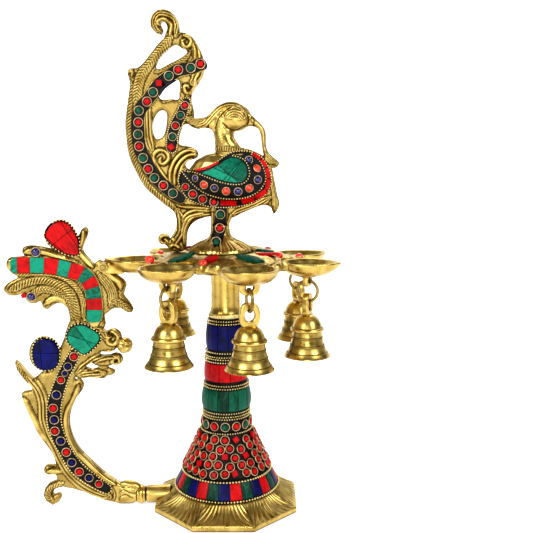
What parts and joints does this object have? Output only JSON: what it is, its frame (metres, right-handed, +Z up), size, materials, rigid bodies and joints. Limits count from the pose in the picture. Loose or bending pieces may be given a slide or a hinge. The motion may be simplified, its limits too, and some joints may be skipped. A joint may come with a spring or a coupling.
{
  "type": "brass standing oil lamp",
  "caption": "Standing brass oil lamp: stone-inlaid flared column, tray of wick cups with hanging bells, scrolled side handle and a peacock finial.",
  "frame": {"origin": "centre of the foot's flat underside, on the column's axis", "axes": "+Z up along the column; -X towards the carrying handle; -Y towards the side that shows the peacock facing +X"},
  "size_m": [0.2125, 0.1507, 0.3197],
  "materials": {
    "cast_brass": "cast and hand-polished, dark patina in the recesses",
    "aged_brass": "unpolished, aged",
    "coral": "cut coral-red composition stone, ground flush",
    "malachite": "cut green composition stone with dark veins, ground flush",
    "lapis": "cut lapis-blue composition stone, ground flush",
    "black_lac": "black lac resin, low gloss, holding ring-set stones"
  },
  "bodies": {
    "stand": {"foot": "cast_brass", "column": "cast_brass", "neck_tube": "cast_brass", "neck_collar": "cast_brass", "tie_rod": "aged_brass", "tray_nut": "aged_brass", "tricolour_ring": "lapis", "red_stone_sleeve": "black_lac", "bezel_stone_row": "black_lac", "malachite_band": "malachite", "coral_band": "coral", "lapis_band": "lapis", "bead_string_1": "cast_brass", "bead_string_2": "cast_brass", "bead_string_3": "cast_brass", "bead_string_4": "cast_brass", "bead_string_5": "cast_brass", "bead_string_6": "cast_brass", "tray_plate": "cast_brass", "cup_1": "cast_brass", "cup_2": "cast_brass", "cup_3": "cast_brass", "cup_4": "cast_brass", "cup_5": "cast_brass", "cup_6": "cast_brass", "cup_7": "cast_brass", "handle": "cast_brass", "handle_ferrule": "cast_brass", "handle_stud": "aged_brass", "handle_bolt": "aged_brass", "handle_nut": "aged_brass", "handle_coral_teardrop": "coral", "handle_striped_band": "malachite", "handle_malachite_heart": "malachite", "handle_lapis_oval": "lapis", "handle_stone_strip": "black_lac", "peacock": "cast_brass", "peacock_wing_front": "malachite", "peacock_wing_back": "malachite", "peacock_tail_strip_front": "black_lac", "peacock_tail_strip_back": "black_lac"},
    "ring_1": {"bell_ring_1": "aged_brass"},
    "bell_1": {"bell_1": "cast_brass"},
    "clapper_1": {"clapper_1": "aged_brass"},
    "ring_2": {"bell_ring_2": "aged_brass"},
    "bell_2": {"bell_2": "cast_brass"},
    "clapper_2": {"clapper_2": "aged_brass"},
    "ring_3": {"bell_ring_3": "aged_brass"},
    "bell_3": {"bell_3": "cast_brass"},
    "clapper_3": {"clapper_3": "aged_brass"},
    "ring_4": {"bell_ring_4": "aged_brass"},
    "bell_4": {"bell_4": "cast_brass"},
    "clapper_4": {"clapper_4": "aged_brass"},
    "ring_5": {"bell_ring_5": "aged_brass"},
    "bell_5": {"bell_5": "cast_brass"},
    "clapper_5": {"clapper_5": "aged_brass"}
  },
  "joints": [
    {"name": "ring_1_swing", "type": "hinge", "parent": "stand", "child": "ring_1", "pos_m": [-0.03137, -0.04639, 0.15305], "axis": [-0.5602, -0.8283, 0], "range_deg": [-10, 10]},
    {"name": "bell_1_swing", "type": "hinge", "parent": "ring_1", "child": "bell_1", "pos_m": [-0.03137, -0.04639, 0.1465], "axis": [0.8283, -0.5602, 0], "range_deg": [-20, 20]},
    {"name": "clapper_1_swing", "type": "hinge", "parent": "bell_1", "child": "clapper_1", "pos_m": [-0.03137, -0.04639, 0.1251], "axis": [-0.5602, -0.8283, 0], "range_deg": [-24, 24]},
    {"name": "ring_2_swing", "type": "hinge", "parent": "stand", "child": "ring_2", "pos_m": [0.01671, -0.05345, 0.15305], "axis": [0.2983, -0.9545, 0], "range_deg": [-10, 10]},
    {"name": "bell_2_swing", "type": "hinge", "parent": "ring_2", "child": "bell_2", "pos_m": [0.01671, -0.05345, 0.1465], "axis": [0.9545, 0.2983, 0], "range_deg": [-20, 20]},
    {"name": "clapper_2_swing", "type": "hinge", "parent": "bell_2", "child": "clapper_2", "pos_m": [0.01671, -0.05345, 0.1251], "axis": [0.2983, -0.9545, 0], "range_deg": [-24, 24]},
    {"name": "ring_3_swing", "type": "hinge", "parent": "stand", "child": "ring_3", "pos_m": [0.05221, -0.02026, 0.15305], "axis": [0.9322, -0.3619, 0], "range_deg": [-10, 10]},
    {"name": "bell_3_swing", "type": "hinge", "parent": "ring_3", "child": "bell_3", "pos_m": [0.05221, -0.02026, 0.1465], "axis": [0.3619, 0.9322, 0], "range_deg": [-20, 20]},
    {"name": "clapper_3_swing", "type": "hinge", "parent": "bell_3", "child": "clapper_3", "pos_m": [0.05221, -0.02026, 0.1251], "axis": [0.9322, -0.3619, 0], "range_deg": [-24, 24]},
    {"name": "ring_4_swing", "type": "hinge", "parent": "stand", "child": "ring_4", "pos_m": [0.04839, 0.02818, 0.15305], "axis": [0.8641, 0.5032, 0], "range_deg": [-10, 10]},
    {"name": "bell_4_swing", "type": "hinge", "parent": "ring_4", "child": "bell_4", "pos_m": [0.04839, 0.02818, 0.1465], "axis": [-0.5032, 0.8641, 0], "range_deg": [-20, 20]},
    {"name": "clapper_4_swing", "type": "hinge", "parent": "bell_4", "child": "clapper_4", "pos_m": [0.04839, 0.02818, 0.1251], "axis": [0.8641, 0.5032, 0], "range_deg": [-24, 24]},
    {"name": "ring_5_swing", "type": "hinge", "parent": "stand", "child": "ring_5", "pos_m": [-0.03824, 0.04091, 0.15305], "axis": [-0.6829, 0.7305, 0], "range_deg": [-10, 10]},
    {"name": "bell_5_swing", "type": "hinge", "parent": "ring_5", "child": "bell_5", "pos_m": [-0.03824, 0.04091, 0.1465], "axis": [-0.7305, -0.6829, 0], "range_deg": [-20, 20]},
    {"name": "clapper_5_swing", "type": "hinge", "parent": "bell_5", "child": "clapper_5", "pos_m": [-0.03824, 0.04091, 0.1251], "axis": [-0.6829, 0.7305, 0], "range_deg": [-24, 24]}
  ]
}
